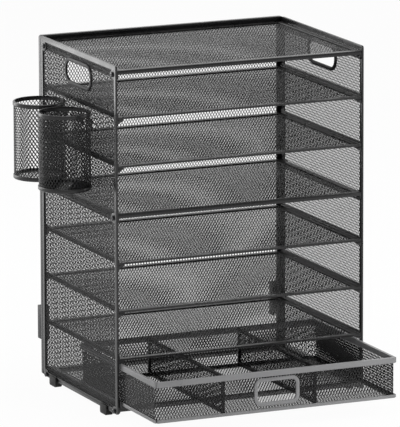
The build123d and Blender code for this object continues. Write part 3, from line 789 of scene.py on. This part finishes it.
def screw_tree():
    """One screw with its cross recess, copied to each place and turned to face out."""
    tree, inputs, out = new_tree("screws", "GeometryNodeTree", [
        ("Places", "NodeSocketObject", None),
        ("Blank", "NodeSocketObject", None),
        ("Recess Length", "NodeSocketFloat", 0.0034),
        ("Recess Width", "NodeSocketFloat", 0.0008),
        ("Recess Depth", "NodeSocketFloat", 0.0012),
        ("Head Height", "NodeSocketFloat", 0.0022),
        ("Seed", "NodeSocketInt", 7),
        ("Material", "NodeSocketMaterial", None),
    ], [("Geometry", "NodeSocketGeometry")])
    blank = add(tree, "GeometryNodeObjectInfo", {"Object": inputs["Blank"]}).outputs["Geometry"]
    length, width = inputs["Recess Length"], inputs["Recess Width"]
    deep = calc(tree, "MULTIPLY", inputs["Recess Depth"], 2.0)
    top = add(tree, "ShaderNodeCombineXYZ", {2: inputs["Head Height"]}).outputs[0]
    cutters = []
    for x, y in ((length, width), (width, length)):
        size = add(tree, "ShaderNodeCombineXYZ", {0: x, 1: y, 2: deep}).outputs[0]
        block = add(tree, "GeometryNodeMeshCube", {"Size": size}).outputs[0]
        cutter = add(tree, "GeometryNodeTransform", {"Geometry": block, "Translation": top})
        cutters.append(cutter.outputs[0])
    once = add(tree, "GeometryNodeMeshBoolean", {0: blank, 1: cutters[0]},
               operation="DIFFERENCE", solver="EXACT")
    twice = add(tree, "GeometryNodeMeshBoolean", {0: once.outputs[0], 1: cutters[1]},
                operation="DIFFERENCE", solver="EXACT")
    places = add(tree, "GeometryNodeObjectInfo", {"Object": inputs["Places"]}).outputs["Geometry"]
    facing = add(tree, "GeometryNodeInputNamedAttribute", {"Name": "facing"},
                 data_type="FLOAT_VECTOR").outputs[0]
    aligned = add(tree, "FunctionNodeAlignRotationToVector", {"Vector": facing}, axis="Z").outputs[0]
    turn = add(tree, "FunctionNodeRandomValue", {2: 0.0, 3: pi, "Seed": inputs["Seed"]}).outputs[1]
    spin = add(tree, "ShaderNodeCombineXYZ", {2: turn}).outputs[0]
    spin = add(tree, "FunctionNodeEulerToRotation", {0: spin}).outputs[0]
    rotation = add(tree, "FunctionNodeRotateRotation", {0: aligned, 1: spin},
                   rotation_space="LOCAL").outputs[0]
    points = add(tree, "GeometryNodeMeshToPoints", {"Mesh": places}).outputs[0]
    copies = add(tree, "GeometryNodeInstanceOnPoints", {
        "Points": points, "Instance": twice.outputs[0], "Rotation": rotation}).outputs[0]
    solid = add(tree, "GeometryNodeRealizeInstances", {"Geometry": copies}).outputs[0]
    coated = add(tree, "GeometryNodeSetMaterial", {
        "Geometry": solid, "Material": inputs["Material"]})
    feed(tree, out, {"Geometry": coated.outputs[0]})
    return tree


SCREW_TREE = screw_tree()
print("tree", SCREW_TREE.name, len(SCREW_TREE.nodes), "nodes")

# %% Screws in their places
SCREW_DROP = 5.5 * MM
NUT_ROUND = 0.15 * MM


def screw_places():
    """A point at each head's seat, with the way that it faces."""
    low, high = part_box("screws")
    seats = (low.x + HEAD_HEIGHT, high.x - HEAD_HEIGHT)
    rows = (low.y + HEAD_RADIUS, high.y - HEAD_RADIUS)
    levels = [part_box(node)[1].z - SCREW_DROP for node in ("base_frame", "shelf_3_frame", "top_shelf_frame")]
    places = [(x, y, z) for x in seats for y in rows for z in levels]
    mesh = bpy.data.meshes.new("screw_places")
    mesh.from_pydata(places, [], [])
    facing = mesh.attributes.new("facing", "FLOAT_VECTOR", "POINT")
    for entry, (x, _, _) in zip(facing.data, places):
        entry.vector = (1 if x > 0 else -1, 0, 0)
    helper = bpy.data.objects.new("screw_places", mesh)
    scene.collection.objects.link(helper)
    return helper


places = screw_places()
blank = screw_blank()
screws = grown(SCREW_TREE, {
    "Places": places, "Blank": blank, "Head Height": HEAD_HEIGHT, "Material": FASTENER})
for helper in (places, blank):
    bpy.data.objects.remove(helper)
screws.shade_smooth()
screws.set_sharp_from_angle(angle=SHARP_ANGLE)
piece("screws_pan_head", screws, FASTENER, "screws")
softened("nuts", FASTENER, NUT_ROUND)
screw_reach = np.abs(coordinates(screws)[:, 0]).max()
print("screws", len(screws.polygons), "faces, heads end at", round(float(screw_reach), 5), "m")
